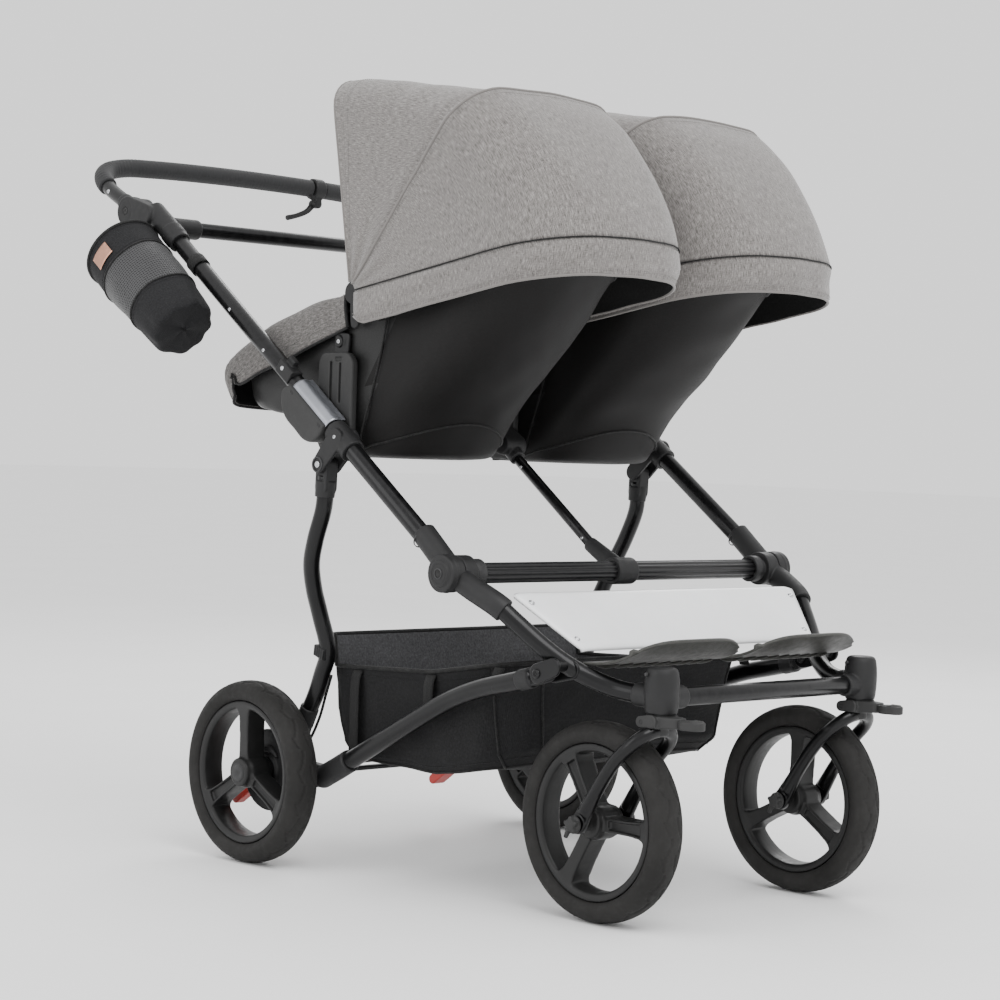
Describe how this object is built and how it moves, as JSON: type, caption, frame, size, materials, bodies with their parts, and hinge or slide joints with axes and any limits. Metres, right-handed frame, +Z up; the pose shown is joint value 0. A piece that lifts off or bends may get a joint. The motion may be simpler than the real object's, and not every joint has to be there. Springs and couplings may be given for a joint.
{
  "type": "side-by-side twin stroller",
  "caption": "Side-by-side twin stroller with parent-facing hooded seats, swivel front wheels, folding frame, angle-adjustable handlebar and shopping basket.",
  "frame": {"origin": "on the floor, in the middle of the footprint of the whole object", "axes": "+Z up, +Y towards the push handle, front of the stroller towards -Y, -X is the right-hand side of the person pushing"},
  "size_m": [0.741, 1.2194, 1.0884],
  "materials": {
    "frame_tube": "satin black powder coat",
    "frame_plastic": "moulded, fine grain",
    "gloss_plastic": "satin moulding",
    "tyre": "matt rubber",
    "grip": "foam, fine cross grain",
    "leg_panel": "smooth white",
    "foot_plate": "moulded",
    "saddle": "cast, satin",
    "melange": "grey melange weave",
    "shell_fabric": "black satin weave",
    "bag_fabric": "black plain weave",
    "brake_red": "moulded red",
    "axle": "moulded"
  },
  "bodies": {
    "chassis": {"front_tube_r": "frame_tube", "front_tube_l": "frame_tube", "front_cross_tube": "frame_tube", "knee_lower_r": "frame_plastic", "knee_lower_l": "frame_plastic", "crossbar": "gloss_plastic", "leg_panel": "leg_panel", "foot_plate_r": "foot_plate", "foot_plate_l": "foot_plate", "caster_barrel_r": "frame_plastic", "caster_barrel_l": "frame_plastic"},
    "upper_frame": {"knee_upper_r": "frame_plastic", "knee_upper_l": "frame_plastic", "side_tube_r": "frame_tube", "side_tube_l": "frame_tube", "handle_base_r": "frame_plastic", "handle_base_l": "frame_plastic", "clevis_r": "frame_plastic", "clevis_l": "frame_plastic", "seat_receiver_r": "saddle", "seat_receiver_l": "saddle", "cross_tube": "frame_tube", "centre_rod": "frame_plastic", "pouch": "bag_fabric"},
    "rear_link": {"lower_tube_r": "frame_tube", "lower_tube_l": "frame_tube", "rear_bracket_r": "frame_plastic", "rear_bracket_l": "frame_plastic", "basket": "bag_fabric"},
    "rear_legs": {"rear_leg_r": "frame_tube", "rear_leg_l": "frame_tube"},
    "handle": {"handlebar": "frame_tube", "grip": "grip", "grip_short": "grip"},
    "hand_brake": {"brake_lever": "frame_plastic"},
    "foot_brake": {"brake_bar": "brake_red"},
    "caster_r": {"caster_fork_r": "frame_tube", "front_axle_r": "axle"},
    "front_wheel_r": {"front_tyre_r": "tyre", "front_rim_r": "gloss_plastic"},
    "lock_lever_r": {"swivel_lock_r": "frame_plastic"},
    "rear_wheel_r": {"rear_tyre_r": "tyre", "rear_rim_r": "gloss_plastic"},
    "seat_r": {"seat_shell_r": "shell_fabric", "seat_frame_r": "frame_plastic", "leg_cover_r": "melange", "hood_back_r": "melange"},
    "hood_r": {"hood_front_r": "melange"},
    "caster_l": {"caster_fork_l": "frame_tube", "front_axle_l": "axle"},
    "front_wheel_l": {"front_tyre_l": "tyre", "front_rim_l": "gloss_plastic"},
    "lock_lever_l": {"swivel_lock_l": "frame_plastic"},
    "rear_wheel_l": {"rear_tyre_l": "tyre", "rear_rim_l": "gloss_plastic"},
    "seat_l": {"seat_shell_l": "shell_fabric", "seat_frame_l": "frame_plastic", "leg_cover_l": "melange", "hood_back_l": "melange"},
    "hood_l": {"hood_front_l": "melange"}
  },
  "joints": [
    {"name": "frame_fold", "type": "hinge", "parent": "chassis", "child": "upper_frame", "pos_m": [0.0375, -0.27785, 0.4295], "axis": [1, 0, 0], "range_deg": [0, 45]},
    {"name": "lower_link_pivot", "type": "hinge", "parent": "chassis", "child": "rear_link", "pos_m": [0.0375, -0.40085, 0.312], "axis": [1, 0, 0], "range_deg": [-1, 29.5]},
    {"name": "rear_leg_pivot", "type": "hinge", "parent": "upper_frame", "child": "rear_legs", "pos_m": [0.0375, -0.01785, 0.56], "axis": [1, 0, 0], "range_deg": [-17.5, 1]},
    {"name": "handlebar_angle", "type": "hinge", "parent": "upper_frame", "child": "handle", "pos_m": [0.0375, 0.44215, 0.92], "axis": [1, 0, 0], "range_deg": [-50, 15]},
    {"name": "brake_lever_squeeze", "type": "hinge", "parent": "handle", "child": "hand_brake", "pos_m": [0.1895, 0.59815, 0.977], "axis": [0, 1, 0], "range_deg": [0, 18], "stiffness_Nm_per_rad": 0.4, "springref_deg": -2.86},
    {"name": "brake_pedal_press", "type": "hinge", "parent": "rear_link", "child": "foot_brake", "pos_m": [0.0375, 0.16415, 0.113], "axis": [1, 0, 0], "range_deg": [-18, 0]},
    {"name": "caster_swivel_r", "type": "hinge", "parent": "chassis", "child": "caster_r", "pos_m": [-0.1572, -0.54055, 0.262], "axis": [0, 0, 1], "continuous": true},
    {"name": "front_wheel_spin_r", "type": "hinge", "parent": "caster_r", "child": "front_wheel_r", "pos_m": [-0.1572, -0.44425, 0.127], "axis": [1, 0, 0], "continuous": true},
    {"name": "swivel_lock_flip_r", "type": "hinge", "parent": "caster_r", "child": "lock_lever_r", "pos_m": [-0.1572, -0.57345, 0.257], "axis": [1, 0, 0], "range_deg": [0, 20]},
    {"name": "rear_wheel_spin_r", "type": "hinge", "parent": "rear_link", "child": "rear_wheel_r", "pos_m": [-0.262, 0.13415, 0.127], "axis": [1, 0, 0], "continuous": true},
    {"name": "seat_lift_off_r", "type": "slide", "parent": "upper_frame", "child": "seat_r", "axis": [0, 0, 1], "range_m": [0, 0.12]},
    {"name": "hood_fold_r", "type": "hinge", "parent": "seat_r", "child": "hood_r", "pos_m": [-0.1185, -0.04185, 0.792], "axis": [1, 0, 0], "range_deg": [0, 39]},
    {"name": "caster_swivel_l", "type": "hinge", "parent": "chassis", "child": "caster_l", "pos_m": [0.2322, -0.54055, 0.262], "axis": [0, 0, 1], "continuous": true},
    {"name": "front_wheel_spin_l", "type": "hinge", "parent": "caster_l", "child": "front_wheel_l", "pos_m": [0.2322, -0.44425, 0.127], "axis": [1, 0, 0], "continuous": true},
    {"name": "swivel_lock_flip_l", "type": "hinge", "parent": "caster_l", "child": "lock_lever_l", "pos_m": [0.2322, -0.57345, 0.257], "axis": [1, 0, 0], "range_deg": [0, 20]},
    {"name": "rear_wheel_spin_l", "type": "hinge", "parent": "rear_link", "child": "rear_wheel_l", "pos_m": [0.337, 0.13415, 0.127], "axis": [1, 0, 0], "continuous": true},
    {"name": "seat_lift_off_l", "type": "slide", "parent": "upper_frame", "child": "seat_l", "axis": [0, 0, 1], "range_m": [0, 0.12]},
    {"name": "hood_fold_l", "type": "hinge", "parent": "seat_l", "child": "hood_l", "pos_m": [0.1935, -0.04185, 0.792], "axis": [1, 0, 0], "range_deg": [0, 39]}
  ],
  "couplings": [
    {"joint": "lower_link_pivot", "follows": "frame_fold", "ratio": 0.632},
    {"joint": "rear_leg_pivot", "follows": "frame_fold", "ratio": -0.362}
  ]
}
